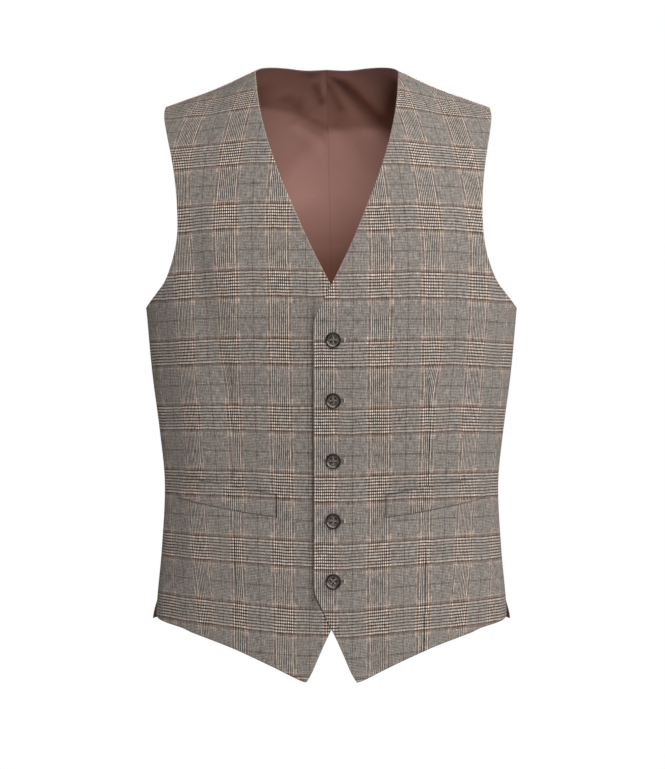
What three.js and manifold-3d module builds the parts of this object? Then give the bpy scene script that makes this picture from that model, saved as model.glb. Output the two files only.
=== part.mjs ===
// A man's single-breasted suit waistcoat with a V neck, five buttons, two slanted welt pockets
// and a pointed hem, in its worn form with nobody in it. Lengths are millimetres and +Z is up.
// The front faces -Y and +X is the wearer's left. The origin lies midway between the neck points,
// the inner ends of the two shoulders. Every piece of cloth is a thin wall that follows one
// body-shaped surface, and the wearer's left front laps over the right one.
import * as THREE from 'three';
import { mergeVertices } from 'three/addons/utils/BufferGeometryUtils.js';
import Module from 'manifold-3d';

const wasm = await Module();
wasm.setup();

// Cloth and seams
const FRONT_WALL = 2.0;
const BACK_WALL = 1.2;
const WELT_WALL = 1.8;
const SEAM_GAP = 0.3;
const LAP_CLEARANCE = 0.4;

// Body form
const SQUARENESS = 0.05;
const RIDGE_HALF_WIDTH = 215;
const TURN_RADIUS = 205;
const SHOULDER_LEAN = 5;
const LEAN_FROM = -260;

// Cut of the pieces
const NECK_HALF_WIDTH = 74.8;
const SHOULDER_HALF_WIDTH = 169.4;
const SHOULDER_SEAM_TURN = rad(83);
const SIDE_SEAM_ANGLE = rad(94);
const UNDERARM = -251;
const UNDERARM_SHARE = 0.5;
const FRONT_SIDE_HEM = -567;
const BACK_SIDE_HEM = -573;
const BACK_CENTRE_HEM = -566;
const BACK_NECK_SHARE = 0.38;
const VENT_TOP = -545;
const VENT_FLARE = 4.5;
const LAP_FULL = 20;
const LAP_ENDS = 50;

// Buttons
const BUTTON_COUNT = 5;
const BUTTON_DIAMETER = 15.6;
const BUTTON_THICKNESS = 2.8;
const BUTTON_HOLE = 1.7;
const BUTTON_HOLE_PITCH = 3.4;
const BUTTON_SIDES = 20;
const TOP_BUTTON = -283;
const BUTTON_PITCH = 60.9;
const BUTTON_X = 1.7;
const LAST_BUTTON_TURN = rad(45);

// Level sections through the body, from below the hem up to the fullest part of the back
const RINGS = table(['height', 'halfWidth', 'frontDepth', 'backDepth'], [
  [-660, 185, 117, 112],
  [-560, 182.5, 114, 109],
  [-500, 177.3, 110, 102],
  [-432, 174, 108, 97],
  [-380, 178.8, 112, 99],
  [-315, 187.2, 119, 105],
  [-250, 193.2, 124, 112],
  [-235, 194.6, 124, 114],
  [-175, 198, 124, 118],
]);

// Top of the shoulders at each distance from the middle
const RIDGE = table(['x', 'height'], [
  [0, 24], [40, 15], [75, 0], [106, -14.6], [125, -22.4], [146, -29.8], [168, -37.6], [210, -50],
]);

// How each half of the body rounds over above its fullest height
const FRONT = { toward: -1, fullest: -235, halfWidth: 194.6, roundness: 1.2, depth: 'frontDepth' };
const BACK = { toward: 1, fullest: -175, halfWidth: 198, roundness: 1.1, depth: 'backDepth' };
FRONT.other = BACK;
BACK.other = FRONT;

// A front's edge from the pointed tip up the cutaway, along the lap, and up the V
const FRONT_EDGE = table(['share', 'x', 'height'], [
  [0, 25.5, -628], [0.012, 20.5, -620], [0.04, 12.6, -602], [0.065, 5, -585], [0.09, -3.5, -568],
  [0.11, -10.6, -552], [0.123, -15.6, -542], [0.135, -17.7, -532], [0.17, -17.9, -505],
  [0.3, -17.9, -410], [0.44, -18, -300], [0.475, -18.2, -269], [0.485, -16.5, -261],
  [0.5, -12, -252], [0.518, -6, -239], [0.535, 0, -228], [0.58, 14.2, -200], [0.62, 25.7, -175],
  [0.67, 37.5, -147], [0.73, 49.5, -117], [0.8, 60, -85], [0.87, 68, -53], [0.93, 72.3, -25],
]);

// The armhole edges between the top of the side seam and the end of the shoulder
const FRONT_ARMHOLE = table(['share', 'x', 'height'], [
  [0.08, 190.5, -246.5], [0.15, 184, -239.5], [0.22, 177, -231.5],
  [0.28, 171, -224], [0.34, 165.5, -212.5], [0.41, 160.4, -196.5], [0.48, 157, -179],
  [0.55, 155.9, -158], [0.62, 156.6, -136], [0.69, 158.8, -114], [0.76, 162.2, -93],
  [0.83, 166, -74], [0.9, 169.2, -57], [0.95, 170.2, -47.5],
]);
const BACK_ARMHOLE = table(['share', 'x', 'height'], [
  [0.09, 189, -246.5], [0.18, 180.5, -236], [0.27, 171.5, -219], [0.36, 164.5, -194],
  [0.46, 161.5, -165], [0.56, 161, -136], [0.66, 162.5, -108], [0.76, 165, -80],
  [0.86, 168, -57],
]);

// The lower edge of a front from the tip to the side
const FRONT_HEM = table(['share', 'x', 'height'], [
  [0, 25.5, -628], [0.02, 30.5, -626.6], [0.1, 43.8, -620.4], [0.2, 60, -612.4], [0.32, 81, -603],
  [0.44, 101.5, -594.6], [0.56, 122, -587.2], [0.68, 142, -580.8], [0.8, 160, -575],
]);

// The back neck edge, with the turn over the shoulder in degrees and its ridge at 90
const BACK_NECK = table(['share', 'x', 'turn'], [
  [0, 0, 65.4], [0.3, 25, 68], [0.55, 44, 73.5], [0.75, 59, 81], [0.9, 69.5, 89.5],
  [1, NECK_HALF_WIDTH, 97],
]);

// Where the panels' rows and columns lie, closer together where their edges bend
const FRONT_ROWS = steps([[0, 0.012, 1], [0.012, 0.09, 4], [0.09, 0.15, 5], [0.15, 0.46, 8],
  [0.46, 0.54, 6], [0.54, 0.9, 10], [0.9, 1, 4]]);
const FRONT_COLUMNS = steps([[0, 0.02, 1], [0.02, 1, 14]]);
const BACK_ROWS = steps([[0, 0.08, 3], [0.08, 0.5, 8], [0.5, 0.62, 4], [0.62, 0.9, 6], [0.9, 1, 4]]);
const BACK_COLUMNS = steps([[0, BACK_NECK_SHARE, 5], [BACK_NECK_SHARE, 1, 8]]);

// A welt's two long edges, from its end near the buttons to its end near the side
const WELT = table(['share', 'x', 'top', 'bottom'], [
  [0, 54.6, -438.8, -462.3], [0.33, 88, -432.6, -457.6], [0.66, 124, -426, -451],
  [1, 157.5, -422, -444],
]);
const WELT_COLUMNS = steps([[0, 0.6, 7], [0.6, 1, 8]]);
const WELT_ROWS = steps([[0, 1, 2]]);

// A button's section from the middle of its back round the rim to the middle of its face
const BUTTON_PROFILE = table(['radiusShare', 'heightShare'], [
  [0, 0], [0.8, 0], [0.97, 0.28], [1, 0.62], [0.93, 0.95], [0.84, 1], [0.72, 0.86], [0.62, 0.66],
  [0, 0.66],
]);

const CHECK_CLOTH = new THREE.MeshStandardMaterial({ color: 0x857c72, roughness: 0.92, metalness: 0 });
const SATIN = new THREE.MeshStandardMaterial({ color: 0x8a5f56, roughness: 0.45, metalness: 0 });
const HORN = new THREE.MeshStandardMaterial({ color: 0x2c2723, roughness: 0.3, metalness: 0 });

function rad(degrees) {
  return degrees * Math.PI / 180;
}

function table(columns, rows) {
  return rows.map((row) => Object.fromEntries(columns.map((name, i) => [name, row[i]])));
}

// Values from the first stretch to the last, each stretch cut into equal steps
function steps(stretches) {
  const values = [stretches[0][0]];
  for (const [from, to, count] of stretches) {
    for (let i = 1; i <= count; i += 1) values.push(from + (to - from) * i / count);
  }
  return values;
}

// A smooth curve through one column of a table, at a value of the table's first column
function smooth(rows, name, at) {
  const key = Object.keys(rows[0])[0];
  const last = rows.length - 1;
  const x = THREE.MathUtils.clamp(at, rows[0][key], rows[last][key]);
  let i = 0;
  while (i < last - 1 && rows[i + 1][key] <= x) i += 1;
  const slope = (k) => {
    const before = rows[Math.max(k - 1, 0)];
    const after = rows[Math.min(k + 1, last)];
    return (after[name] - before[name]) / (after[key] - before[key]);
  };
  const span = rows[i + 1][key] - rows[i][key];
  const rise = rows[i + 1][name] - rows[i][name];
  const u = (x - rows[i][key]) / span;
  return rows[i][name] + rise * u * u * (3 - 2 * u)
    + span * u * (1 - u) * ((1 - u) * slope(i) - u * slope(i + 1));
}

function fade(from, to, at) {
  return THREE.MathUtils.smoothstep(at, from, to);
}

// The shoulders sit a few millimetres towards the wearer's right
function lean(height) {
  return -SHOULDER_LEAN * Math.max((height - LEAN_FROM) / -LEAN_FROM, 0) ** 1.2;
}

function widthAtTurn(part, turn) {
  return part.halfWidth + (RIDGE_HALF_WIDTH - part.halfWidth) * Math.sin(turn);
}

function bulge(angle) {
  return 1 + SQUARENESS * Math.sin(2 * angle) ** 2;
}

// A point of the body surface. The angle runs from the middle of the half towards the side. The
// rise is the height up to the half's fullest level, and above it the way over the shoulder,
// which goes on past the ridge into the other half.
function bodyPoint(half, angle, rise) {
  const wayOver = Math.max(rise - half.fullest, 0) / TURN_RADIUS;
  const pastRidge = wayOver > Math.PI / 2;
  const part = pastRidge ? half.other : half;
  const turn = pastRidge ? Math.PI - wayOver : wayOver;
  const level = Math.min(rise, part.fullest);
  const halfWidth = turn > 0 ? widthAtTurn(part, turn) : smooth(RINGS, 'halfWidth', level);
  const x = halfWidth * Math.sin(angle) * bulge(angle);
  const inward = Math.cos(angle) * bulge(angle);
  const depth = smooth(RINGS, inward < 0 ? part.other.depth : part.depth, level);
  const y = part.toward * depth * inward * Math.cos(turn) ** part.roundness;
  const climb = smooth(RIDGE, 'height', Math.abs(x)) - part.fullest;
  const z = turn > 0 ? part.fullest + climb * Math.sin(turn) : rise;
  return new THREE.Vector3(x + lean(z), y, z);
}

// The outward normal of that surface, from small steps along both of its directions
function bodyNormal(half, { angle, rise }) {
  const turned = 0.01;
  const raised = 1.5;
  const across = bodyPoint(half, angle + turned, rise).sub(bodyPoint(half, angle - turned, rise));
  const up = bodyPoint(half, angle, rise + raised).sub(bodyPoint(half, angle, rise - raised));
  return across.cross(up).multiplyScalar(-half.toward).normalize();
}

// The angle that reaches a distance from the middle, found by halving
function angleAt(halfWidth, x) {
  let low = 0;
  let high = Math.PI / 2;
  for (let i = 0; i < 40; i += 1) {
    const angle = (low + high) / 2;
    if (halfWidth * Math.sin(angle) * bulge(angle) < Math.abs(x)) low = angle;
    else high = angle;
  }
  return Math.sign(x) * low;
}

// The place on the surface at a distance from the middle and a height, seen from the front
function place(half, x, height) {
  if (height <= half.fullest) {
    return { angle: angleAt(smooth(RINGS, 'halfWidth', height), x), rise: height };
  }
  const climb = smooth(RIDGE, 'height', Math.abs(x)) - half.fullest;
  const turn = Math.asin(Math.min((height - half.fullest) / climb, 1));
  return { angle: angleAt(widthAtTurn(half, turn), x), rise: riseOfTurn(half, turn) };
}

function riseOfTurn(half, turn) {
  return half.fullest + TURN_RADIUS * turn;
}

function between(a, b, u) {
  return { angle: a.angle + (b.angle - a.angle) * u, rise: a.rise + (b.rise - a.rise) * u };
}

// A smooth edge through places that each have their share of its length
function through(stops) {
  return (share) => ({
    angle: smooth(stops, 'angle', share),
    rise: smooth(stops, 'rise', share),
  });
}

function stopsOf(half, rows) {
  return rows.map((row) => ({ share: row.share, ...place(half, row.x, row.height) }));
}

// The side seam from the hem to the underarm, and then the armhole up to the shoulder
function sideEdge(half, hem, sideAngle, armhole, shoulderEnd) {
  const underarm = { angle: sideAngle, rise: UNDERARM };
  const arm = through([
    { share: 0, ...underarm }, ...stopsOf(half, armhole), { share: 1, ...shoulderEnd },
  ]);
  return (t) => (t <= UNDERARM_SHARE
    ? between({ angle: sideAngle, rise: hem }, underarm, t / UNDERARM_SHARE)
    : arm((t - UNDERARM_SHARE) / (1 - UNDERARM_SHARE)));
}

// Half of the seam gap as an angle at the side, over the shoulder and at the centre back
const SIDE_GAP = SEAM_GAP / 2 / 112;
const SHOULDER_GAP = SEAM_GAP / 2 / 110;
const CENTRE_GAP = SEAM_GAP / 2 / RINGS[3].halfWidth;

function frontPanel() {
  const seam = riseOfTurn(FRONT, SHOULDER_SEAM_TURN - SHOULDER_GAP);
  const neckPoint = { angle: angleAt(RIDGE_HALF_WIDTH, NECK_HALF_WIDTH), rise: seam };
  const shoulderEnd = { angle: angleAt(RIDGE_HALF_WIDTH, SHOULDER_HALF_WIDTH), rise: seam };
  const sideAngle = SIDE_SEAM_ANGLE - SIDE_GAP;
  return {
    half: FRONT,
    wall: FRONT_WALL,
    rows: FRONT_ROWS,
    columns: FRONT_COLUMNS,
    inner: through([...stopsOf(FRONT, FRONT_EDGE), { share: 1, ...neckPoint }]),
    outer: sideEdge(FRONT, FRONT_SIDE_HEM, sideAngle, FRONT_ARMHOLE, shoulderEnd),
    bottom: through([
      ...stopsOf(FRONT, FRONT_HEM), { share: 1, angle: sideAngle, rise: FRONT_SIDE_HEM },
    ]),
    top: (s) => between(neckPoint, shoulderEnd, s),
  };
}

function backPanel() {
  const seam = riseOfTurn(BACK, Math.PI - SHOULDER_SEAM_TURN - SHOULDER_GAP);
  const shoulderEnd = { angle: angleAt(RIDGE_HALF_WIDTH, SHOULDER_HALF_WIDTH), rise: seam };
  const neckStops = BACK_NECK.map((row) => ({
    share: row.share,
    angle: Math.max(angleAt(RIDGE_HALF_WIDTH, row.x), CENTRE_GAP),
    rise: riseOfTurn(BACK, rad(row.turn)),
  }));
  neckStops[neckStops.length - 1].rise = seam;
  const neck = through(neckStops);
  const nape = neck(0);
  const sideAngle = Math.PI - SIDE_SEAM_ANGLE - SIDE_GAP;
  const hemCentre = { angle: CENTRE_GAP, rise: BACK_CENTRE_HEM };
  const hemSide = { angle: sideAngle, rise: BACK_SIDE_HEM };
  return {
    half: BACK,
    wall: BACK_WALL,
    rows: BACK_ROWS,
    columns: BACK_COLUMNS,
    inner: (t) => between(hemCentre, nape, t),
    outer: sideEdge(BACK, BACK_SIDE_HEM, sideAngle, BACK_ARMHOLE, shoulderEnd),
    bottom: (s) => between(hemCentre, hemSide, s),
    top: (s) => (s <= BACK_NECK_SHARE
      ? neck(s / BACK_NECK_SHARE)
      : between(neck(1), shoulderEnd, (s - BACK_NECK_SHARE) / (1 - BACK_NECK_SHARE))),
  };
}

// A place inside a panel, spread smoothly between the panel's four edges
function spread(panel, s, t) {
  const low = between(panel.inner(0), panel.outer(0), s);
  const high = between(panel.inner(1), panel.outer(1), s);
  const corners = between(low, high, t);
  const across = between(panel.inner(t), panel.outer(t), s);
  const along = between(panel.bottom(s), panel.top(s), t);
  return {
    angle: across.angle + along.angle - corners.angle,
    rise: across.rise + along.rise - corners.rise,
  };
}

// How far each piece stands off the body surface
function lapLift(angle, rise) {
  const x = bodyPoint(FRONT, angle, rise).x - lean(rise);
  return (FRONT_WALL + LAP_CLEARANCE) * (1 - fade(LAP_FULL, LAP_ENDS, x));
}

function ventFlare(angle, rise) {
  return VENT_FLARE * fade(rad(70), rad(86), angle) * (1 - fade(BACK_SIDE_HEM, VENT_TOP, rise));
}

function noLift() {
  return 0;
}

// A wall between two grids of points, which are the body surface moved out by lift and by
// lift less the wall. The side is 1 for the wearer's left and -1 for the right.
function wallGeometry(half, side, places, lift, wall) {
  const positions = [];
  for (const inset of [0, wall]) {
    for (const row of places) {
      for (const at of row) {
        const here = { angle: side * at.angle, rise: at.rise };
        const out = bodyNormal(half, here).multiplyScalar(lift(at.angle, at.rise) - inset);
        positions.push(...bodyPoint(half, here.angle, here.rise).add(out).toArray());
      }
    }
  }
  const geometry = new THREE.BufferGeometry();
  geometry.setAttribute('position', new THREE.Float32BufferAttribute(positions, 3));
  geometry.setIndex(wallTriangles(places.length, places[0].length, side * half.toward < 0));
  geometry.computeVertexNormals();
  return geometry;
}

// The outer grid, the inner grid, and the strip all round that joins their borders
function wallTriangles(rows, columns, flip) {
  const triangles = [];
  const inner = rows * columns;
  const quad = (a, b, c, d) => {
    if (flip) triangles.push(a, b, c, a, c, d);
    else triangles.push(a, c, b, a, d, c);
  };
  for (let r = 0; r < rows - 1; r += 1) {
    for (let c = 0; c < columns - 1; c += 1) {
      const a = r * columns + c;
      quad(a, a + 1, a + columns + 1, a + columns);
      quad(inner + a, inner + a + columns, inner + a + columns + 1, inner + a + 1);
    }
  }
  const strip = (a, b) => quad(a, inner + a, inner + b, b);
  for (let c = 0; c < columns - 1; c += 1) {
    const top = (rows - 1) * columns + c;
    strip(c, c + 1);
    strip(top + 1, top);
  }
  for (let r = 0; r < rows - 1; r += 1) {
    const start = r * columns;
    const end = start + columns - 1;
    strip(start + columns, start);
    strip(end, end + columns);
  }
  return triangles;
}

function addPanel(name, panel, side, lift, material) {
  const places = panel.rows.map((t) => panel.columns.map((s) => spread(panel, s, t)));
  const geometry = wallGeometry(panel.half, side, places, lift, panel.wall);
  addMesh(name, geometry, material);
}

// A welt lies on its front, a seam gap clear of it
function addWelt(name, side, frontLift) {
  const places = WELT_ROWS.map((v) => WELT_COLUMNS.map((share) => {
    const bottom = smooth(WELT, 'bottom', share);
    const height = bottom + (smooth(WELT, 'top', share) - bottom) * v;
    return place(FRONT, smooth(WELT, 'x', share), height);
  }));
  const lift = (angle, rise) => frontLift(angle, rise) + SEAM_GAP + WELT_WALL;
  addMesh(name, wallGeometry(FRONT, side, places, lift, WELT_WALL), CHECK_CLOTH);
}

// The solid of a closed geometry, with shared vertices merged and flat triangles left out
function solidOf(geometry) {
  const bare = geometry.clone();
  bare.deleteAttribute('normal');
  bare.deleteAttribute('uv');
  const merged = mergeVertices(bare, 1e-4);
  const index = merged.index.array;
  const kept = [];
  for (let i = 0; i < index.length; i += 3) {
    const [a, b, c] = [index[i], index[i + 1], index[i + 2]];
    if (a !== b && b !== c && c !== a) kept.push(a, b, c);
  }
  return new wasm.Manifold(new wasm.Mesh({
    numProp: 3,
    vertProperties: new Float32Array(merged.attributes.position.array),
    triVerts: new Uint32Array(kept),
  }));
}

function geometryOf(solid) {
  const mesh = solid.getMesh();
  const geometry = new THREE.BufferGeometry();
  geometry.setAttribute('position', new THREE.BufferAttribute(mesh.vertProperties, 3));
  geometry.setIndex(new THREE.BufferAttribute(mesh.triVerts, 1));
  geometry.computeVertexNormals();
  return geometry;
}

// A four-hole button with a raised rim, its axis along +Y and its back at 0
function buttonGeometry(turn) {
  const radius = BUTTON_DIAMETER / 2;
  const outline = BUTTON_PROFILE.map(({ radiusShare, heightShare }) => (
    new THREE.Vector2(radius * radiusShare, BUTTON_THICKNESS * heightShare)
  ));
  let solid = solidOf(new THREE.LatheGeometry(outline, BUTTON_SIDES));
  for (let i = 0; i < 4; i += 1) {
    const at = turn + rad(45 + 90 * i);
    const hole = new THREE.CylinderGeometry(BUTTON_HOLE / 2, BUTTON_HOLE / 2, 4 * BUTTON_THICKNESS, 8);
    const reach = BUTTON_HOLE_PITCH * Math.SQRT1_2;
    hole.translate(reach * Math.cos(at), 0, reach * Math.sin(at));
    solid = solid.subtract(solidOf(hole));
  }
  return geometryOf(solid);
}

// Each button lies on the lap of the left front, facing out of it
function addButton(number) {
  const at = place(FRONT, BUTTON_X, TOP_BUTTON - BUTTON_PITCH * (number - 1));
  const turn = number === BUTTON_COUNT ? LAST_BUTTON_TURN : 0;
  const out = bodyNormal(FRONT, at);
  const button = addMesh(`button_${number}`, buttonGeometry(turn), HORN);
  button.quaternion.setFromUnitVectors(new THREE.Vector3(0, 1, 0), out);
  button.position.copy(bodyPoint(FRONT, at.angle, at.rise));
  button.position.addScaledVector(out, lapLift(at.angle, at.rise) + SEAM_GAP);
}

const waistcoat = new THREE.Group();

function addMesh(name, geometry, material) {
  const mesh = new THREE.Mesh(geometry, material);
  mesh.name = name;
  waistcoat.add(mesh);
  return mesh;
}

const front = frontPanel();
const back = backPanel();
addPanel('front_left', front, 1, lapLift, CHECK_CLOTH);
addPanel('front_right', front, -1, noLift, CHECK_CLOTH);
addPanel('back_left', back, 1, ventFlare, SATIN);
addPanel('back_right', back, -1, ventFlare, SATIN);
addWelt('welt_left', 1, lapLift);
addWelt('welt_right', -1, noLift);
for (let number = 1; number <= BUTTON_COUNT; number += 1) addButton(number);

export default waistcoat;
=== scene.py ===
"""A man's single-breasted suit waistcoat in glen check, worn but with nobody in it.

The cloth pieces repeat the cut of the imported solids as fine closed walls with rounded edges,
and add the folds, the seams, the woven check, the satin, the horn buttons and the sewing.
Shapes are worked out in millimetres and put into the meshes in metres. The front faces -Y and
+X is the wearer's left.
"""
import math
from functools import partialmethod
from types import SimpleNamespace

import bmesh
import bpy
import numpy as np
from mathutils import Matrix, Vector


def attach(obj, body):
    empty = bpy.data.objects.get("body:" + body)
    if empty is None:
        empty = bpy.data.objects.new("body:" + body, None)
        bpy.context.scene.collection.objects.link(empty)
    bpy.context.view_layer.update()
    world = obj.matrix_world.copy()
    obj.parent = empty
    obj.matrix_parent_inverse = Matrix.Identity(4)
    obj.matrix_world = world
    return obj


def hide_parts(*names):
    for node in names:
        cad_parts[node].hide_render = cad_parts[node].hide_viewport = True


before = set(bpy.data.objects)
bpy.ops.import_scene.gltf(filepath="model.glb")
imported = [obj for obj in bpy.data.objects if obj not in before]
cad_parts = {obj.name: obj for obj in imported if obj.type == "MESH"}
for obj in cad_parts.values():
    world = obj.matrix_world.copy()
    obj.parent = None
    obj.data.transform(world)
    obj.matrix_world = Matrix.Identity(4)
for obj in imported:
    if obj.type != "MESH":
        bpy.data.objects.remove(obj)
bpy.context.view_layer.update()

MM = 0.001
CAMERA_DISTANCE = 3.1
CAMERA_AT = (0.001, -CAMERA_DISTANCE, -0.328)
SENSOR = 36
MM_PER_PIXEL = 1.045
PHOTO_SIZE = (665, 769)


def table(names, rows):
    """Rows of numbers as one array for each named column."""
    return dict(zip(names.split(), np.array(rows, float).T))


def both_sides(names, left, right):
    """A table for the wearer's left side, 1, and one for the right side, -1."""
    return {1: table(names, left), -1: table(names, right)}


# Cloth and cut, as in the solids
FRONT_WALL = 2.0
BACK_WALL = 1.2
WELT_WALL = 1.8
SEAM_GAP = 0.3
SEAM_LAP = 0.7
LAP_CLEARANCE = 0.4
LAP_GAPE = 0.7
UNDERLAP_DROP = 1.6
LAP_CLOSES = (-566, -545)
LAP_OPENS = (-268, -235)
SQUARENESS = 0.05
RIDGE_HALF_WIDTH = 215
TURN_RADIUS = 205
SHOULDER_LEAN = 5
LEAN_FROM = -260
NECK_HALF_WIDTH = 74.8
SHOULDER_HALF_WIDTH = 169.4
SHOULDER_SEAM_TURN = math.radians(83)
SIDE_SEAM_ANGLE = math.radians(94)
UNDERARM = -251
UNDERARM_SHARE = 0.5
FRONT_SIDE_HEM = -567
BACK_SIDE_HEM = -573
BACK_CENTRE_HEM = -566
BACK_NECK_SHARE = 0.38
VENT_TOP = -545
VENT_FLARE = 4.5
LAP_FULL = 20
LAP_ENDS = 50
BUTTON_HOLE_RADIUS = 1.22
BUTTON_HOLE_PITCH = 3.7
TOP_BUTTON = -283
BUTTON_PITCH = 60.9
BUTTON_X = 1.7
BUTTON_TURNS = (0, 4, 0, -3, 45)
BUTTONHOLE = dict(middle=1.8, reach=7.6, end=1.2, half_width=1.15, bar=11.6, bar_half=2.6)
WELT_LENGTH = 104
WELT_HEIGHT = 24
# Painted shade inside the lining: the edge of the shade under the collar, and the rises over which
# the painted shade far down fades out upwards
COLLAR_SHADE_EDGE = -42
LINING_LOW_SHADE = (-212, -112)
FACING_WIDTH = 62

RINGS = table("height half_width front_depth back_depth", [
    (-660, 185, 117, 112), (-560, 182.5, 114, 109), (-500, 177.3, 110, 102), (-432, 174, 108, 97),
    (-380, 178.8, 112, 99), (-315, 187.2, 119, 105), (-250, 193.2, 124, 112),
    (-235, 194.6, 124, 114), (-175, 198, 124, 118),
])
RIDGE = table("x height", [
    (0, 24), (40, 15), (75, 0), (106, -14.6), (125, -22.4), (146, -29.8), (168, -37.6), (210, -50),
])
FRONT = dict(toward=-1, fullest=-235, half_width=194.6, roundness=1.2)
BACK = dict(toward=1, fullest=-175, half_width=198, roundness=1.1)

FRONT_EDGE = table("share x height", [
    (0, 25.5, -628), (0.012, 20.5, -620), (0.04, 12.6, -602), (0.065, 5, -585), (0.09, -3.5, -568),
    (0.11, -10.6, -552), (0.123, -15.6, -542), (0.135, -17.7, -532), (0.17, -17.9, -505),
    (0.3, -17.9, -410), (0.44, -18, -300), (0.475, -18.2, -269), (0.485, -16.5, -261),
    (0.5, -12, -252), (0.518, -6, -239), (0.535, 0, -228), (0.58, 14.2, -200), (0.62, 25.7, -175),
    (0.67, 37.5, -147), (0.73, 49.5, -117), (0.8, 60, -85), (0.87, 68, -53), (0.93, 72.3, -25),
])
FRONT_ARMHOLE = table("share x height", [
    (0.08, 190.5, -246.5), (0.15, 184, -239.5), (0.22, 177, -231.5), (0.28, 171, -224),
    (0.34, 165.5, -212.5), (0.41, 160.4, -196.5), (0.48, 157, -179), (0.55, 155.9, -158),
    (0.62, 156.6, -136), (0.69, 158.8, -114), (0.76, 162.2, -93), (0.83, 166, -74),
    (0.9, 169.2, -57), (0.95, 170.2, -47.5),
])
BACK_ARMHOLE = table("share x height", [
    (0.09, 189, -246.5), (0.18, 180.5, -236), (0.27, 171.5, -219), (0.36, 164.5, -194),
    (0.46, 161.5, -165), (0.56, 161, -136), (0.66, 162.5, -108), (0.76, 165, -80),
    (0.86, 168, -57),
])
FRONT_HEM = table("share x height", [
    (0, 25.5, -628), (0.02, 30.5, -626.6), (0.1, 43.8, -620.4), (0.2, 60, -612.4),
    (0.32, 81, -603), (0.44, 101.5, -594.6), (0.56, 122, -587.2), (0.68, 142, -580.8),
    (0.8, 160, -575),
])
BACK_NECK = table("share x turn", [
    (0, 0, 65.4), (0.3, 25, 68), (0.55, 44, 73.5), (0.75, 59, 81), (0.9, 69.5, 89.5),
    (1, NECK_HALF_WIDTH, 97),
])
WELT = table("share x top bottom", [
    (0, 54.6, -438.8, -462.3), (0.33, 88, -432.6, -457.6), (0.66, 124, -426, -451),
    (1, 157.5, -422, -444),
])

# The front darts, from mid chest to the hem, on the wearer's left and right
DART = both_sides("height x", [
    (-640, 93), (-545, 94.5), (-425, 98.5), (-360, 99.2), (-304, 98), (-200, 101), (-80, 106),
    (60, 112),
], [
    (-640, 95), (-545, 97), (-425, 100.5), (-360, 102), (-304, 103.5), (-200, 106), (-80, 110),
    (60, 114),
])
DART_TOP = -300
DART_GROOVE_DEPTH = 0.6
DART_GROOVE_WIDTH = 0.55
DART_ENTERS_WELT = (-412, -396)

# Where the bands of the check lie on each front: the way round from the middle, at each rise,
# to the band under the buttons, the first band, both edges of the second and the third
GRAIN = both_sides("rise lap first second_in second_out third", [
    (-640, -6.8, 47.6, 86.6, 99.5, 126), (-586, -6.8, 47.9, 87, 100.2, 128.5),
    (-545, -6.8, 47.6, 87.6, 101.5, 132.9), (-495, -6.8, 48, 89.3, 102.2, 139),
    (-394, -6.8, 49, 90.8, 103.6, 146.8), (-343, -6.8, 48.2, 92.4, 106.5, 150.9),
    (-300, -6.8, 48.6, 93.2, 112.5, 153.6), (-233, -6.8, 50.4, 94.2, 114, 158),
    (-178, -7, 51, 93.5, 115, 157.6), (-109, -11, 44, 86.5, 108.5, 149.5),
    (-68, -16, 37, 79, 101, 145.4), (32, -40, 13, 57, 79, 130), (90, -60, -7, 40, 62, 115),
], [
    (-640, -3.2, 46.6, 85, 100.5, 124), (-586, -3.2, 47.4, 86, 101.6, 126.5),
    (-545, -3.2, 48.2, 87.5, 102.2, 130.6), (-495, -3.2, 49, 90.4, 103, 137.1),
    (-394, -3.2, 50.5, 91.6, 104.8, 148), (-343, -3.2, 51.5, 93.4, 109, 151.6),
    (-300, -3.2, 52.2, 94.6, 115, 154.6), (-233, -3.2, 52.8, 94.6, 117.2, 156),
    (-195, -3.2, 54, 95.2, 119.4, 156), (-149, -4, 52, 95.5, 119.2, 157.6),
    (-75, -12, 43, 89, 112.7, 157.5), (31, -32, 22, 68, 91.3, 134), (90, -44, 10, 52, 75, 112),
])
WARP_REPEAT = 55.4
WARP_BAND = 22.3
WEFT_REPEAT = 67.9
WEFT_PHASE = 3.6
WAIST = -432

# How far the weft lines of each front stray upwards from level: at each way up from the waist,
# at places that far round from the middle
STRAY_AT = (15, 45, 80, 130, 185)
STRAY = both_sides("up lap inner middle outer side", [
    (-190, -6, -3.5, 0.5, 4.5, 7), (-132, -6, -3.5, -0.5, 2.7, 5), (-64, -5.8, -4, -1.7, 0.6, 0.8),
    (4, -5.5, -4.2, -2.8, -2.1, -2.3), (72, -4.8, -4.5, -3.3, -1.9, -3.8),
    (139, -4.5, -3.8, -2.8, -2.1, -4.4), (207, -4, -3.2, -1.8, -2.2, -4.3),
    (275, -3, -2.2, -0.6, -1.5, -4), (343, -1, 0, 0.7, -1, -4), (411, 1, 2, 2, -1, -4),
], [
    (-190, -3, -2, 0.5, 7, 10), (-132, -3.5, -2.3, 0.9, 6, 9), (-64, -3, -2, 0.3, 2.3, 4),
    (4, -2.8, -1.8, -0.1, 0.6, 0.8), (72, -2.2, -1.8, -1, -0.5, -1.8),
    (139, -1.9, -1.3, -0.6, -1.3, -3.2), (207, -1.5, -0.9, -0.2, -1.6, -4),
    (275, -0.5, -0.1, 0.5, -1, -4), (343, 0, 1, 2, -0.3, -4), (411, 1, 2.5, 2.5, -0.5, -4),
])

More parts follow.
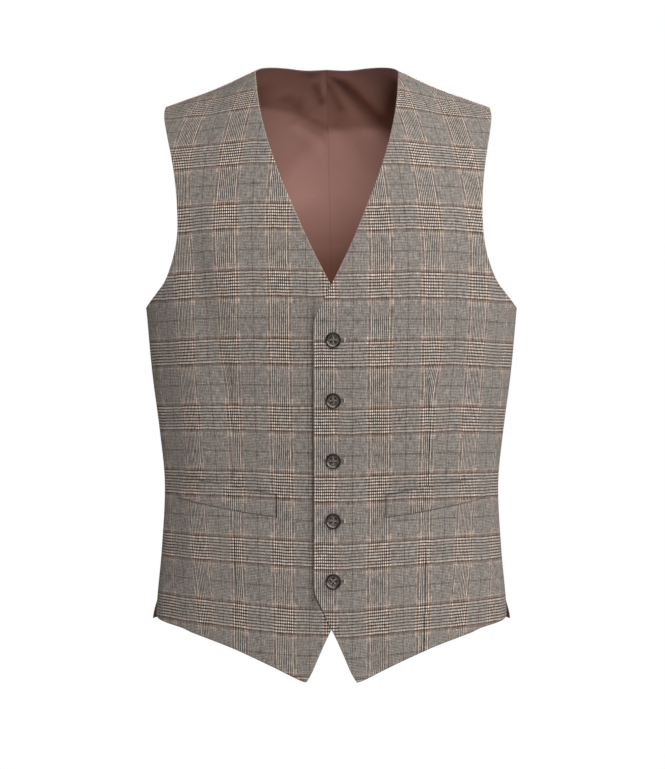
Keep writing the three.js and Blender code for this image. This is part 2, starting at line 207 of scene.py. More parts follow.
# Soft troughs and ridges as strokes on the body: from one place to another, each the way round
# from the middle and the rise, with half the stroke's width and its height off the cloth
STROKES = "across rise to_across to_rise width height"
FRONT_FOLDS = both_sides(STROKES, [
    (150, -205, 118, -330, 24, -1.5), (128, -150, 96, -240, 20, 0.8),
    (30, -262, 62, -226, 11, -0.8), (22, -283, 66, -300, 8, -0.5), (22, -344, 60, -356, 8, -0.5),
    (22, -405, 58, -410, 8, -0.4), (22, -466, 62, -474, 8, -0.5), (22, -527, 54, -545, 9, -0.6),
    (178, -300, 160, -420, 18, -1.2), (140, -400, 128, -520, 16, 1),
    (165, -470, 176, -560, 14, -1.4), (66, -480, 58, -600, 18, 1.1),
    (112, -500, 106, -590, 13, -1.2), (34, -560, 44, -615, 9, -0.8), (135, -60, 120, 30, 16, -1),
    (70, -110, 96, -20, 18, 0.8), (205, -330, 198, -480, 15, 1),
], [
    (152, -170, 112, -330, 15, -3.8), (125, -165, 92, -262, 18, 1.8),
    (112, -320, 92, -440, 15, -2), (24, -262, 58, -222, 11, -0.8), (30, -283, 70, -292, 9, -0.5),
    (30, -344, 66, -352, 9, -0.5), (32, -405, 62, -416, 9, -0.5), (32, -466, 64, -480, 9, -0.5),
    (32, -527, 58, -550, 9, -0.7), (182, -280, 168, -430, 18, -1.6), (148, -400, 138, -520, 17, 1),
    (172, -480, 182, -560, 14, -1.5), (62, -490, 56, -600, 17, 1),
    (104, -500, 100, -600, 13, -1.3), (30, -560, 40, -612, 9, -0.9), (138, -50, 118, 30, 15, -1.2),
    (206, -340, 198, -480, 15, 1.1),
])
BACK_FOLDS = both_sides(STROKES, [
    (6, 34, 46, -30, 9, 2), (18, 43, 58, -9, 9, -2), (3, 28, 15, -5, 6, -1.4),
    (8, -40, 70, -120, 16, 1.6), (90, 20, 66, -90, 16, 1.6), (20, -120, 84, -180, 18, -1.6),
    (112, -40, 104, -190, 20, -2), (10, -230, 60, -330, 22, 1.4), (24, -395, 92, -412, 13, 2.2),
    (18, -420, 86, -440, 12, -2), (30, -452, 100, -470, 13, 1.8), (140, -300, 118, -400, 18, -2.2),
    (168, -380, 120, -430, 14, 1.8), (60, -480, 52, -560, 16, -2.2),
    (112, -470, 118, -560, 16, 2.2), (160, -470, 164, -560, 14, -1.8),
    (20, -500, 16, -562, 13, 1.6), (170, -270, 150, -330, 14, 1.4),
], [
    (20, 50, 24, 8, 7, 1.6), (44, 22, 30, 6, 10, -1.4), (15, -26, 1, -42, 6, -1.2),
    (12, 34, 6, 2, 5, -1.4), (34, -27, 4, -58, 7, 1.6), (6, -52, 66, -110, 15, 1.8),
    (94, 26, 72, -100, 17, 1.4), (26, -130, 88, -170, 18, -1.8), (116, -60, 108, -200, 19, -1.8),
    (14, -240, 68, -320, 22, 1.6), (20, -400, 88, -404, 12, 2), (26, -426, 92, -432, 12, -2.2),
    (22, -458, 94, -480, 14, 1.6), (146, -310, 122, -396, 17, -2), (172, -390, 126, -420, 14, 1.6),
    (66, -476, 60, -562, 16, -2), (118, -480, 122, -562, 15, 2), (164, -462, 170, -556, 15, -1.6),
    (26, -504, 24, -562, 13, 1.4), (174, -280, 152, -340, 14, 1.2),
])

# Painted shade on the lining below the neck as strokes: above 0 more shade, below 0 less
LINING_SHADE_STROKES = both_sides(STROKES, [
    (3, 28, 15, -5, 5, 0.28), (18, 43, 58, -9, 8, 0.42), (78, 80, 68, -32, 10, 0.55),
    (40, 52, 62, 30, 9, -0.1), (8, -36, 20, -40, 5, 0.12),
], [
    (12, 34, 6, 2, 4.5, 0.36), (44, 22, 30, 6, 9, 0.2), (34, 0, 22, -22, 6, 0.14),
    (15, -26, 1, -40, 5, 0.24), (4, 55, 4, 14, 2.5, -0.22), (77, 60, 74, 24, 12, 0.2),
    (36, -34, 14, -78, 7, 0.04), (30, -30, 4, -60, 5, -0.08),
])

# A button's half section, and that of a hole: from the square round it to its circle and back
BUTTON_SECTION = table("radius height", [
    (3.7, 0), (5.6, 0), (6.6, 0.12), (7.2, 0.42), (7.62, 0.95), (7.8, 1.5), (7.76, 1.95),
    (7.55, 2.38), (7.2, 2.68), (6.8, 2.8), (6.4, 2.72), (6.05, 2.44), (5.7, 2.06), (5.35, 1.8),
    (4.9, 1.66), (3.7, 1.6),
])
HOLE_SECTION = table("share height", [
    (1, 0), (0.45, 0), (0.12, 0), (0, 0.15), (0, 0.6), (0, 1), (0, 1.4), (0.12, 1.56), (0.45, 1.6),
    (1, 1.6),
])
CELL_STEPS = 12
PAINTED_GLEAM_TURN = math.radians(118)
FACE_PALE = 0.22


# The body surface and the cut

def smooth(rows, name, at):
    """A smooth curve through one column of a table: between two rows a cubic whose slope at
    each row is that of the straight line between the rows on either side of it."""
    x, v = next(iter(rows.values())), rows[name]
    row = np.arange(len(x))
    before, after = np.maximum(row - 1, 0), np.minimum(row + 1, len(x) - 1)
    slope = (v[after] - v[before]) / (x[after] - x[before])
    at = np.clip(at, x[0], x[-1])
    i = np.clip(np.searchsorted(x, at, side="right") - 1, 0, len(x) - 2)
    span = x[i + 1] - x[i]
    u = (at - x[i]) / span
    return (v[i] + (v[i + 1] - v[i]) * u * u * (3 - 2 * u)
            + span * u * (1 - u) * ((1 - u) * slope[i] - u * slope[i + 1]))


def fade(start, end, at):
    """0 before start, 1 after end, and an S curve between them."""
    u = np.clip((at - start) / (end - start), 0, 1)
    return u * u * (3 - 2 * u)


def lean(height):
    """The shoulders sit a few millimetres towards the wearer's right."""
    return -SHOULDER_LEAN * np.maximum((height - LEAN_FROM) / -LEAN_FROM, 0) ** 1.2


def bulge(angle):
    """Sections are a little squarer than an ellipse, most at 45 degrees."""
    return 1 + SQUARENESS * np.sin(2 * angle) ** 2


def rise_of_turn(half, turn):
    return half["fullest"] + TURN_RADIUS * turn


def half_width_at(width, turn, level):
    """Half a section's width: from the rings below, and widening to the ridge over the top."""
    return np.where(turn > 0, width + (RIDGE_HALF_WIDTH - width) * np.sin(turn),
                    smooth(RINGS, "half_width", level))


def body_point(half, angle, rise):
    """A point of the body surface. Level sections are rounded ovals from the rings up to the
    half's fullest height, and above it they shrink in depth as the cosine of the way over the
    shoulder while the height climbs to the ridge as its sine. Past the ridge the surface goes
    on down the other half."""
    way = np.maximum(rise - half["fullest"], 0) / TURN_RADIUS
    past = way > math.pi / 2
    other = BACK if half is FRONT else FRONT
    toward, fullest, width, roundness = (
        np.where(past, other[key], half[key])
        for key in ("toward", "fullest", "half_width", "roundness"))
    turn = np.where(past, math.pi - way, way)
    level = np.minimum(rise, fullest)
    x = half_width_at(width, turn, level) * np.sin(angle) * bulge(angle)
    inward = np.cos(angle) * bulge(angle)
    in_front = (toward < 0) == (inward >= 0)
    depth = np.where(in_front, smooth(RINGS, "front_depth", level),
                     smooth(RINGS, "back_depth", level))
    y = toward * depth * inward * np.maximum(np.cos(turn), 0) ** roundness
    climb = smooth(RIDGE, "height", np.abs(x)) - fullest
    z = np.where(turn > 0, fullest + climb * np.sin(turn), rise)
    return np.stack([x + lean(z), y, z], -1)


def body_normal(half, angle, rise):
    """The outward normal, from small steps along both directions of the surface."""
    across = body_point(half, angle + 0.01, rise) - body_point(half, angle - 0.01, rise)
    up = body_point(half, angle, rise + 1.5) - body_point(half, angle, rise - 1.5)
    normal = np.cross(across, up) * -half["toward"]
    return normal / np.linalg.norm(normal, axis=-1, keepdims=True)


def angle_at(half_width, x):
    """The angle that reaches a distance from the middle, found by halving."""
    low = np.zeros(np.broadcast(half_width, x).shape)
    high = low + math.pi / 2
    for _ in range(40):
        angle = (low + high) / 2
        short = half_width * np.sin(angle) * bulge(angle) < np.abs(x)
        low, high = np.where(short, angle, low), np.where(short, high, angle)
    return np.sign(x) * low


def place(half, x, height):
    """The angle and rise of the surface at a distance from the middle and a height."""
    climb = smooth(RIDGE, "height", np.abs(x)) - half["fullest"]
    turn = np.arcsin(np.clip((height - half["fullest"]) / climb, 0, 1))
    return (angle_at(half_width_at(half["half_width"], turn, height), x),
            np.where(turn > 0, rise_of_turn(half, turn), height))


def curve(share, angle, rise):
    """A smooth edge through stops that each have their share of its length."""
    stops = {"share": np.array(share), "angle": np.array(angle), "rise": np.array(rise)}
    return lambda t: (smooth(stops, "angle", t), smooth(stops, "rise", t))


def cut_edge(half, rows, end, start=()):
    """A smooth edge through a table's places to its end, and from a start if one is given."""
    angle, rise = place(half, rows["x"], rows["height"])
    return curve([0] * len(start[:1]) + [*rows["share"], 1], [*start[:1], *angle, end[0]],
                 [*start[1:], *rise, end[1]])


def between(a, b, u):
    return a[0] + (b[0] - a[0]) * u, a[1] + (b[1] - a[1]) * u


def straight(a, b):
    return lambda t: between(a, b, t)


def two_part(first, second, share):
    """An edge whose two parts meet at a share of it."""
    def edge(t):
        ends = first(np.minimum(t / share, 1)), second(np.maximum((t - share) / (1 - share), 0))
        return tuple(np.where(t <= share, a, b) for a, b in zip(*ends))

    return edge


def side_edge(half, hem, side_angle, armhole, shoulder_end):
    """The side seam from the hem to the underarm, then the armhole up to the shoulder."""
    underarm = (side_angle, UNDERARM)
    return two_part(straight((side_angle, hem), underarm),
                    cut_edge(half, armhole, shoulder_end, underarm), UNDERARM_SHARE)


# At a seam two pieces run a little into each other, as they are sewn: half the overlap as an
# angle at the side, over the shoulder and at the centre back, whose radii are given
SIDE_GAP, SHOULDER_GAP, CENTRE_GAP = (-SEAM_LAP / 2 / radius for radius in (112, 110, 174))


def front_edges():
    """The four edges of a front, each a function of its share."""
    seam = rise_of_turn(FRONT, SHOULDER_SEAM_TURN - SHOULDER_GAP)
    neck_point, shoulder_end = ((angle_at(RIDGE_HALF_WIDTH, x), seam)
                                for x in (NECK_HALF_WIDTH, SHOULDER_HALF_WIDTH))
    side_angle = SIDE_SEAM_ANGLE - SIDE_GAP
    return dict(
        inner=cut_edge(FRONT, FRONT_EDGE, neck_point),
        outer=side_edge(FRONT, FRONT_SIDE_HEM, side_angle, FRONT_ARMHOLE, shoulder_end),
        bottom=cut_edge(FRONT, FRONT_HEM, (side_angle, FRONT_SIDE_HEM)),
        top=straight(neck_point, shoulder_end))


def back_edges():
    """The four edges of a back half, from the centre seam to the side."""
    seam = rise_of_turn(BACK, math.pi - SHOULDER_SEAM_TURN - SHOULDER_GAP)
    shoulder_end = (angle_at(RIDGE_HALF_WIDTH, SHOULDER_HALF_WIDTH), seam)
    neck_angle = angle_at(RIDGE_HALF_WIDTH, BACK_NECK["x"])
    neck_rise = rise_of_turn(BACK, np.radians(BACK_NECK["turn"]))
    neck_angle[0], neck_rise[-1] = CENTRE_GAP, seam
    side_angle = math.pi - SIDE_SEAM_ANGLE - SIDE_GAP
    hem_centre = (CENTRE_GAP, BACK_CENTRE_HEM)
    return dict(
        inner=straight(hem_centre, (neck_angle[0], neck_rise[0])),
        outer=side_edge(BACK, BACK_SIDE_HEM, side_angle, BACK_ARMHOLE, shoulder_end),
        bottom=straight(hem_centre, (side_angle, BACK_SIDE_HEM)),
        top=two_part(curve(BACK_NECK["share"], neck_angle, neck_rise),
                     straight((neck_angle[-1], seam), shoulder_end), BACK_NECK_SHARE))


def spread(edges, s, t):
    """A place inside a panel: the way between the inner and outer edges plus the way between
    the bottom and top edges, less the straight spread between the four corners."""
    inner, outer, bottom, top = (edges[k] for k in ("inner", "outer", "bottom", "top"))
    corners = between(between(inner(0.0), outer(0.0), s), between(inner(1.0), outer(1.0), s), t)
    across, along = between(inner(t), outer(t), s), between(bottom(s), top(s), t)
    return tuple(a + b - c for a, b, c in zip(across, along, corners))


def lap_lift(angle, rise):
    x = body_point(FRONT, angle, rise)[..., 0] - lean(rise)
    return (FRONT_WALL + LAP_CLEARANCE) * (1 - fade(LAP_FULL, LAP_ENDS, x))


def vent_flare(angle, rise):
    side = fade(math.radians(70), math.radians(86), angle)
    return VENT_FLARE * side * (1 - fade(BACK_SIDE_HEM, VENT_TOP, rise))


def way(half, places):
    """Length along the surface from place to place."""
    stops = [body_point(half, *at) for at in places]
    return sum(np.linalg.norm(b - a, axis=-1) for a, b in zip(stops, stops[1:]))


def way_across(half, angle, rise):
    """Length along a level line from the middle to an angle."""
    return way(half, [(angle * k / 40, rise) for k in range(41)]) * np.sign(angle)


def way_up(half, angle, rise):
    """Length up the surface from the waist to a rise."""
    over = rise - WAIST
    return way(half, [(angle, WAIST + over * k / 60) for k in range(61)]) * np.sign(over)


# Grids and walls

LIP = np.array([0, 0.2, 0.5, 0.9, 1.4, 2.2])
GROOVE = np.array([-2.2, -1.3, -0.7, -0.3, 0, 0.3, 0.7, 1.3, 2.2])
EDGE_ROUND = 1.2


def stations(clusters, steps):
    """Places along each line of a grid: the given clusters, with even steps between them."""
    parts = [clusters[0]]
    for cluster, count in zip(clusters[1:], steps):
        start, end = parts[-1][:, -1:], cluster[:, :1]
        parts += [start + (end - start) * np.arange(1, count) / count, cluster]
    return np.hstack(parts)


def lipped(lengths, steps):
    """Places along lines of the given lengths, close together near both ends."""
    lengths = np.reshape(lengths, (-1, 1))
    return stations([LIP + 0 * lengths, lengths - LIP[::-1]], [steps])


def panel_grid(half, edges, sample, rows, columns, dart=None):
    """The angle and rise of a panel's grid points, and how far each lies from the dart. Lines
    run evenly between the edges and lie close together along them and along the dart, whose
    place is found on a sample grid as the crossing of its line with each row."""
    share = np.linspace(0, 1, sample)
    rough = body_point(half, *spread(edges, *np.meshgrid(share, share)))
    widths, heights = (np.linalg.norm(np.diff(rough, axis=axis), axis=-1).sum(axis)
                       for axis in (1, 0))
    row_at = lipped(heights.max(), rows)[0] / heights.max()
    width = np.interp(row_at, share, widths)[:, None]
    crossing, marks = 0, []
    if dart:
        off = rough[..., 0] - lean(rough[..., 2]) - smooth(dart, "x", rough[..., 2])
        cell, line = np.clip((off < 0).sum(1) - 1, 0, sample - 2), np.arange(sample)
        step = off[line, cell] / (off[line, cell] - off[line, cell + 1])
        crossing = np.interp(row_at, share, (cell + step) / (sample - 1))[:, None] * width
        marks = [crossing + GROOVE]
    across = stations([LIP + 0 * width, *marks, width - LIP[::-1]], columns)
    height = np.interp((across / width).mean(0), share, heights)[:, None]
    return *spread(edges, across / width, (lipped(height, rows) / height).T), across - crossing


def laid_out(half, side, angle, rise):
    """A grid laid on the body: its points, their outward normals, the way across and up to
    them on the unrolled body, and how far they lie from the grid's four borders."""
    base = body_point(half, side * angle, rise)
    steps_up, steps_across = (np.linalg.norm(np.diff(base, axis=k), axis=-1) for k in (0, 1))
    up = np.vstack([0 * angle[:1], steps_up.cumsum(0)])
    along = np.hstack([0 * angle[:, :1], steps_across.cumsum(1)])
    return SimpleNamespace(
        base=base, normal=body_normal(half, side * angle, rise),
        across=way_across(half, angle, rise), up=way_up(half, angle, rise),
        bottom=up, top=up[-1:] - up, inner=along, outer=along[:, -1:] - along)


def bell(at, width):
    """exp(-(at / width)^2)"""
    return np.exp(-(at / width) ** 2)


def strokes(rows, across, rise):
    """The sum of soft strokes: each is its height times the bell of the distance to a straight
    line on the unrolled body."""
    total = np.zeros(np.shape(across))
    for a0, r0, a1, r1, width, height in zip(*rows.values()):
        da, dr = a1 - a0, r1 - r0
        along = np.clip(((across - a0) * da + (rise - r0) * dr) / (da * da + dr * dr), 0, 1)
        total += height * bell(np.hypot(across - a0 - da * along, rise - r0 - dr * along), width)
    return total


def mesh_piece(name, points, quads, uv, materials, choice, layers):
    """An object from points in millimetres, quads, one UV for each corner, a material index for
    each quad, and named values at the points."""
    mesh = bpy.data.meshes.new(name)
    mesh.from_pydata((points * MM).tolist(), [], quads.tolist())
    mesh.shade_smooth()
    mesh.polygons.foreach_set("material_index", np.asarray(choice, np.int32))
    for material in materials:
        mesh.materials.append(material)
    mesh.uv_layers.new(name="fabric").uv.foreach_set("vector", (uv * MM).ravel())
    for layer, values in layers.items():
        mesh.attributes.new(layer, "FLOAT", "POINT").data.foreach_set(
            "value", values.astype(np.float32).ravel())
    mesh.validate()
    piece = bpy.data.objects.new(name, mesh)
    bpy.context.scene.collection.objects.link(piece)
    return piece


def wall_piece(name, at, height, wall, flip, fabric, materials, layers, split=0, lined=None):
    """A closed wall of cloth a height off the body: a middle grid moved out by half the wall's
    thickness and the same grid moved in, sharing their border, where the thickness follows a
    quarter round. The first fabric map holds up to the split column and the last one after
    it, and the inner face takes the second material where it is lined."""
    near = np.minimum.reduce([at.bottom, at.top, at.inner, at.outer])
    thick = wall / 2 * np.sqrt(1 - (1 - np.clip(near / EDGE_ROUND, 0, 1)) ** 2)
    middle, offset = at.base + at.normal * height[..., None], at.normal * thick[..., None]
    rows, columns = near.shape
    border = np.zeros((rows, columns), bool)
    border[[0, -1], :] = border[:, [0, -1]] = True
    outer = np.arange(rows * columns).reshape(rows, columns)
    inner = np.where(border, outer, rows * columns + np.cumsum(~border).reshape(rows, columns) - 1)
    points = np.vstack([(middle + offset).reshape(-1, 3), (middle - offset)[~border]])

    def corners(grid):
        return np.stack([grid[:-1, :-1], grid[:-1, 1:], grid[1:, 1:], grid[1:, :-1]], 2)

    first = (np.arange(columns - 1) < split)[None, :, None, None]
    uv = np.where(first, corners(fabric[0]), corners(fabric[-1]))
    faces = [corners(outer), corners(inner)[:, :, ::-1], uv, uv[:, :, ::-1]]
    if flip:
        faces = [a[:, :, ::-1] for a in faces]
    out, back, uv, uv_back = faces
    choice = np.zeros(near.shape) if lined is None else lined
    piece = mesh_piece(
        name, points, np.vstack([out.reshape(-1, 4), back.reshape(-1, 4)]),
        np.vstack([uv.reshape(-1, 2), uv_back.reshape(-1, 2)]), materials,
        np.concatenate([0 * choice[:-1, :-1].ravel(), choice[:-1, :-1].ravel()]),
        {key: np.concatenate([a[0].ravel(), a[-1][~border]]) for key, a in layers.items()})
    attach(piece, "root")
    return piece


# Materials

def feed(socket, value):
    """Puts a number, a colour or another node's value into a socket."""
    if isinstance(value, Value):
        value.tree.links.new(value.socket, socket)
    else:
        socket.default_value = value


def add_node(tree, kind, inputs=None, output=0, **settings):
    """A node with its settings and inputs, given as the value of one of its outputs."""
    node = tree.nodes.new("ShaderNode" + kind)
    for name, setting in settings.items():
        setattr(node, name, setting)
    for socket, value in (inputs or {}).items():
        feed(node.inputs[socket], value)
    return Value(node.outputs[output])


class Value:
    """What a node puts out. Sums, products and comparisons of it add math nodes."""

    def __init__(self, socket):
        self.socket, self.tree = socket, socket.id_data

    def other(self, output):
        return Value(self.socket.node.outputs[output])

    def math(self, operation, number=0.0):
        return add_node(self.tree, "Math", {0: self, 1: number}, operation=operation)

    __add__ = __radd__ = partialmethod(math, "ADD")
    __mul__ = __rmul__ = partialmethod(math, "MULTIPLY")
    __sub__ = partialmethod(math, "SUBTRACT")
    __truediv__ = partialmethod(math, "DIVIDE")
    __mod__ = partialmethod(math, "FLOORED_MODULO")
    __lt__ = partialmethod(math, "LESS_THAN")
    __gt__ = partialmethod(math, "GREATER_THAN")

    def __rsub__(self, number):
        return self * -1 + number


def vector(x, y, z=0.0):
    return add_node(x.tree, "CombineXYZ", {0: x, 1: y, 2: z})


def mixed(share, a, b, blend="MIX"):
    """Colour a with a share of colour b laid over it."""
    tree = next(value.tree for value in (share, a, b) if isinstance(value, Value))
    return add_node(tree, "Mix", {0: share, 6: a, 7: b}, 2, data_type="RGBA", blend_type=blend)


def toned(colour, tone):
    return mixed(1.0, colour, tone, "MULTIPLY")


def stepped(at, stops, interpolation="LINEAR"):
    """The colour at a place on a scale from 0 to 1 with stops."""
    colour = add_node(at.tree, "ValToRGB", {0: at})
    scale = colour.socket.node.color_ramp
    scale.interpolation = interpolation
    scale.elements.remove(scale.elements[1])
    scale.elements[0].position = stops[0][0]
    scale.elements[0].color = (*stops[0][1], 1)
    for position, stop in stops[1:]:
        scale.elements.new(position).color = (*stop, 1)
    return colour


def noise(at, scale=1.0, detail=2.0, roughness=0.5, distortion=0.0):
    return add_node(at.tree, "TexNoise", {
        "Vector": at, "Scale": scale, "Detail": detail, "Roughness": roughness,
        "Distortion": distortion}, "Fac")


def attribute(tree, name):
    return add_node(tree, "Attribute", output="Fac", attribute_name=name)


def object_map(tree):
    return add_node(tree, "TexCoord", output="Object")


def fabric_map(tree):
    return add_node(tree, "UVMap", uv_map="fabric")


def both_ways(fabric):
    """The way across and up the cloth, in metres."""
    across = add_node(fabric.tree, "SeparateXYZ", {0: fabric})
    return across, across.other(1)


def new_group(name, inputs, outputs):
    """An empty shader node group with named sockets: the values given to it and its end."""
    group = bpy.data.node_groups.new(name, "ShaderNodeTree")
    for ends, in_out in ((inputs, "INPUT"), (outputs, "OUTPUT")):
        for socket, kind in ends.items():
            group.interface.new_socket(socket, in_out=in_out, socket_type="NodeSocket" + kind)
    given, made = (group.nodes.new("NodeGroup" + end) for end in ("Input", "Output"))
    return group, [Value(given.outputs[name]) for name in inputs], made.inputs


def uneven_group():
    """Loose fibres and small unevenness: a fine fuzz and a broad drift of tone, both from 0.5
    up and down, on any piece's own coordinates in metres."""
    group, (at, fine_scale, broad_scale), made = new_group(
        "cloth_unevenness", {"Vector": "Vector", "Fine Scale": "Float", "Broad Scale": "Float"},
        {"Fine": "Float", "Broad": "Float"})
    feed(made["Fine"], noise(at, fine_scale, 3))
    feed(made["Broad"], noise(at, broad_scale, 3))
    return group


# Yarns of the check, in linear light
BAND_DARK = (0.012, 0.009, 0.007)
BAND_BROWN = (0.042, 0.026, 0.018)
BAND_PALE = (0.51, 0.443, 0.393)
BAND_ROSE = (0.66, 0.555, 0.475)
GROUND_DARK = (0.161, 0.141, 0.125)
GROUND_PALE = (0.352, 0.312, 0.281)
RUST = (0.235, 0.176, 0.149)
RUST_DARK = (0.155, 0.111, 0.093)
EDGE_PALE = (0.39, 0.33, 0.28)
LINE_DARK = (0.1, 0.083, 0.07)
# For each yarn direction: how many yarns make a repeat, and where along half a repeat, counted
# in yarns from a band's middle, each kind of pale and dark yarn begins
WARP_YARNS = dict(count=220, band_end=38, pale=[
    (0, BAND_PALE), (31, BAND_ROSE), (38, RUST), (48, EDGE_PALE), (52, GROUND_PALE),
    (108, LINE_DARK)], dark=[
    (0, BAND_DARK), (38, RUST_DARK), (48, EDGE_PALE), (52, GROUND_DARK), (108, LINE_DARK)])
WEFT_YARNS = dict(count=176, band_end=34, pale=[
    (0, BAND_PALE), (26, BAND_ROSE), (34, RUST), (40, EDGE_PALE), (43, GROUND_PALE),
    (86, LINE_DARK)], dark=[
    (0, BAND_DARK), (20, BAND_BROWN), (34, RUST_DARK), (40, EDGE_PALE), (43, GROUND_DARK),
    (86, LINE_DARK)])
BAND_REACH = 52
BEADS = (1.62, 1.58, 1.55, 1)
# How far yarns wander to and fro, in metres
WARP_WANDER = 0.0009
WEFT_WANDER = 0.0012
WARP_PITCH = WARP_REPEAT / WARP_YARNS["count"]
WEFT_PITCH = WEFT_REPEAT / WEFT_YARNS["count"]


def yarn_colour(number, yarns):
    """The colour of a yarn from its number: pale and dark yarns change every four in a band
    and every two in the ground, and the kinds change with the distance from a band's middle.
    Also 1 where the yarn lies within a band's reach."""
    half = yarns["count"] / 2
    local = (number + half) % yarns["count"] - half
    away = (local + 0.5).math("ABSOLUTE")
    fours, twos = (local + 2) % 8 < 3.5, local % 4 < 1.5
    in_ground = away > yarns["band_end"]
    pale, dark = (stepped(away / half, [(start / half, colour) for start, colour in yarns[kind]],
                          "CONSTANT") for kind in ("pale", "dark"))
    return (mixed(twos * in_ground + fours * (1 - in_ground), pale, dark),
            1 - (away > BAND_REACH))


def weave_group():
    """A twill: at a crossing the warp yarn lies on top where the sum of the yarn numbers,
    modulo 4, is 0 or 1, and shows its colour; elsewhere the weft yarn shows. Where a warp band
    crosses the ground, its yarns lie on top at three crossings in four."""
    group, (fabric,), made = new_group("glen_check_weave", {"Fabric": "Vector"},
                                       {"Color": "Color", "Height": "Float"})
    u, v = both_ways(fabric)
    wander_u, wander_v = noise(vector(u * 20, v * 60), 1, 1), noise(vector(u * 60, v * 20, 7), 1, 1)
    u, v = (wander_u - 0.5) * WARP_WANDER + u, (wander_v - 0.5) * WEFT_WANDER + v
    along_u, along_v = u / (WARP_PITCH * MM), v / (WEFT_PITCH * MM)
    warp, weft = along_u.math("FLOOR"), along_v.math("FLOOR")
    warp_colour, warp_band = yarn_colour(warp, WARP_YARNS)
    weft_colour, weft_band = yarn_colour(weft, WEFT_YARNS)
    over = (warp + weft) % 4 < warp_band * (1 - weft_band) + 1.5
    under = 1 - over
    colour = mixed(over, weft_colour, warp_colour)
    # Where two bands cross, pale yarns show as beads between dark ones
    darker = mixed(0.66, colour, mixed(1.0, warp_colour, weft_colour, "DARKEN"))
    colour = mixed(warp_band * weft_band, colour, toned(darker, BEADS))
    # Thick and thin places along each yarn, then streaks over several yarns, then a warm tint
    slub = (over * noise(vector(warp * 1.7, v * 160), 1, 2)
            + under * noise(vector(u * 160, weft * 1.7, 3), 1, 2))
    mottle = sum((noise(vector(u * across, v * up, seed), 1, 1) * share
                  for across, up, seed, share in (
                      (900, 110, 11, 2.2), (110, 520, 17, 1), (760, 640, 23, 1.7))), -2.45)
    tone = (slub * 1.4 + 0.3) * (mottle * 0.62 + 1)
    tint = noise(vector(u * 300, v * 260, 31), 1, 2) * 0.22
    feed(made["Color"], toned(colour, vector(tone * (tint + 0.89), tone, tone * (1.11 - tint))))
    ridge_u, ridge_v = ((along.math("FRACT") * math.pi).math("SINE")
                        for along in (along_u, along_v))
    feed(made["Height"], over * ridge_u + under * ridge_v)
    return group


UNEVEN = uneven_group()
WEAVE = weave_group()


def new_material(name, **settings):
    """A material, its tree, and its shader's sockets with their fixed values set."""
    material = bpy.data.materials.new(name)
    material.use_nodes = True
    tree = material.node_tree
    sockets = tree.nodes["Principled BSDF"].inputs
    for socket, value in settings.items():
        sockets[socket.replace("_", " ")].default_value = value
    return material, tree, sockets


def unevenness(tree):
    """The fine fuzz of a surface. Its other output is the broad drift."""
    return add_node(tree, "Group", {"Vector": object_map(tree), "Fine Scale": 2600,
                                    "Broad Scale": 14}, node_tree=UNEVEN)


def set_surface(sockets, colour, height, depth, strength):
    """Feeds a shader its colour and the bump of a height in metres of depth."""
    feed(sockets["Base Color"], colour)
    feed(sockets["Normal"], add_node(height.tree, "Bump", {
        "Height": height, "Distance": depth, "Strength": strength}))


def check_cloth():
    """Worsted in glen check: the weave's colour, a drift of tone, painted shade in the seams and
    round the welts and the lap's edge, and painted highlights on free edges and by the welts."""
    material, tree, sockets = new_material(
        "glen_check_worsted", Roughness=0.85, Specular_IOR_Level=0.12, Sheen_Weight=0.05,
        Sheen_Roughness=0.5)
    woven = add_node(tree, "Group", {"Fabric": fabric_map(tree)}, node_tree=WEAVE)
    fine = unevenness(tree)
    colour = toned(woven, fine.other("Broad") * 0.16 + 0.92)
    # Painted highlight on the free edges, under the welt and by its top edge
    colour = mixed(attribute(tree, "edge") * 0.22, colour, (0.6, 0.52, 0.45, 1))
    # Painted shade in the dart and seams, round the welts, on the hem and under the lapping edge
    colour = mixed(attribute(tree, "seam") * 0.78, colour, (0.03, 0.024, 0.02, 1))
    set_surface(sockets, colour, woven.other("Height") + fine * 0.8, depth=0.00012, strength=0.35)
    return material


def satin():
    """Rose lining satin: long floats along the warp, a fine line between them, and a tone that
    drifts; darker along the seam, and painted shade below the neck, in its folds and far down."""
    material, tree, sockets = new_material(
        "rose_satin", Roughness=0.5, Specular_IOR_Level=0.3, Sheen_Weight=0.05,
        Sheen_Roughness=0.35, Anisotropic=0.5)
    u, v = both_ways(fabric_map(tree))
    floats = noise(vector(u * 4200, v * 260))
    picks = ((u + v * 0.45) * 9000).math("SINE")
    # The dyed rose, mixed towards a dark colour by the painted shade
    dyed_and_shaded = mixed(attribute(tree, "shade"), (0.44, 0.234, 0.196, 1), (0.135, 0.044, 0.0215, 1))
    colour = toned(dyed_and_shaded, floats * 0.3 + 0.72 + unevenness(tree).other("Broad") * 0.26)
    colour = mixed(attribute(tree, "seam") * 0.7, colour, (0.06, 0.026, 0.021, 1))
    feed(sockets["Roughness"], floats * 0.2 + 0.4)
    set_surface(sockets, colour, floats + picks * 0.12, depth=0.00008, strength=0.4)
    return material


def horn():
    """Polished dark horn: brown streaks and clouds over near black, with a clear gloss. The face
    is paler horn, with painted highlights on the plus between the holes and low left on the rim."""
    material, tree, sockets = new_material(
        "dark_horn", Coat_Weight=0.12, Coat_Roughness=0.2, Specular_IOR_Level=0.22)
    clouds = noise(object_map(tree), 420, 4, 0.6, 1.2)
    colour = stepped(clouds, [(0.3, (0.006, 0.005, 0.004)), (0.5, (0.014, 0.011, 0.009)),
                              (0.62, (0.035, 0.028, 0.022)), (0.75, (0.07, 0.056, 0.044))])
    cloudy = stepped(clouds, [(0.35, (0.5,) * 3), (0.6, (1.0,) * 3)])
    # The face value is the paler horn of the face plus painted highlights
    pale = mixed(attribute(tree, "face") * cloudy, colour, (0.5, 0.43, 0.355, 1))
    feed(sockets["Roughness"], clouds * 0.25 + 0.2)
    set_surface(sockets, pale, unevenness(tree), depth=0.00004, strength=0.25)
    return material


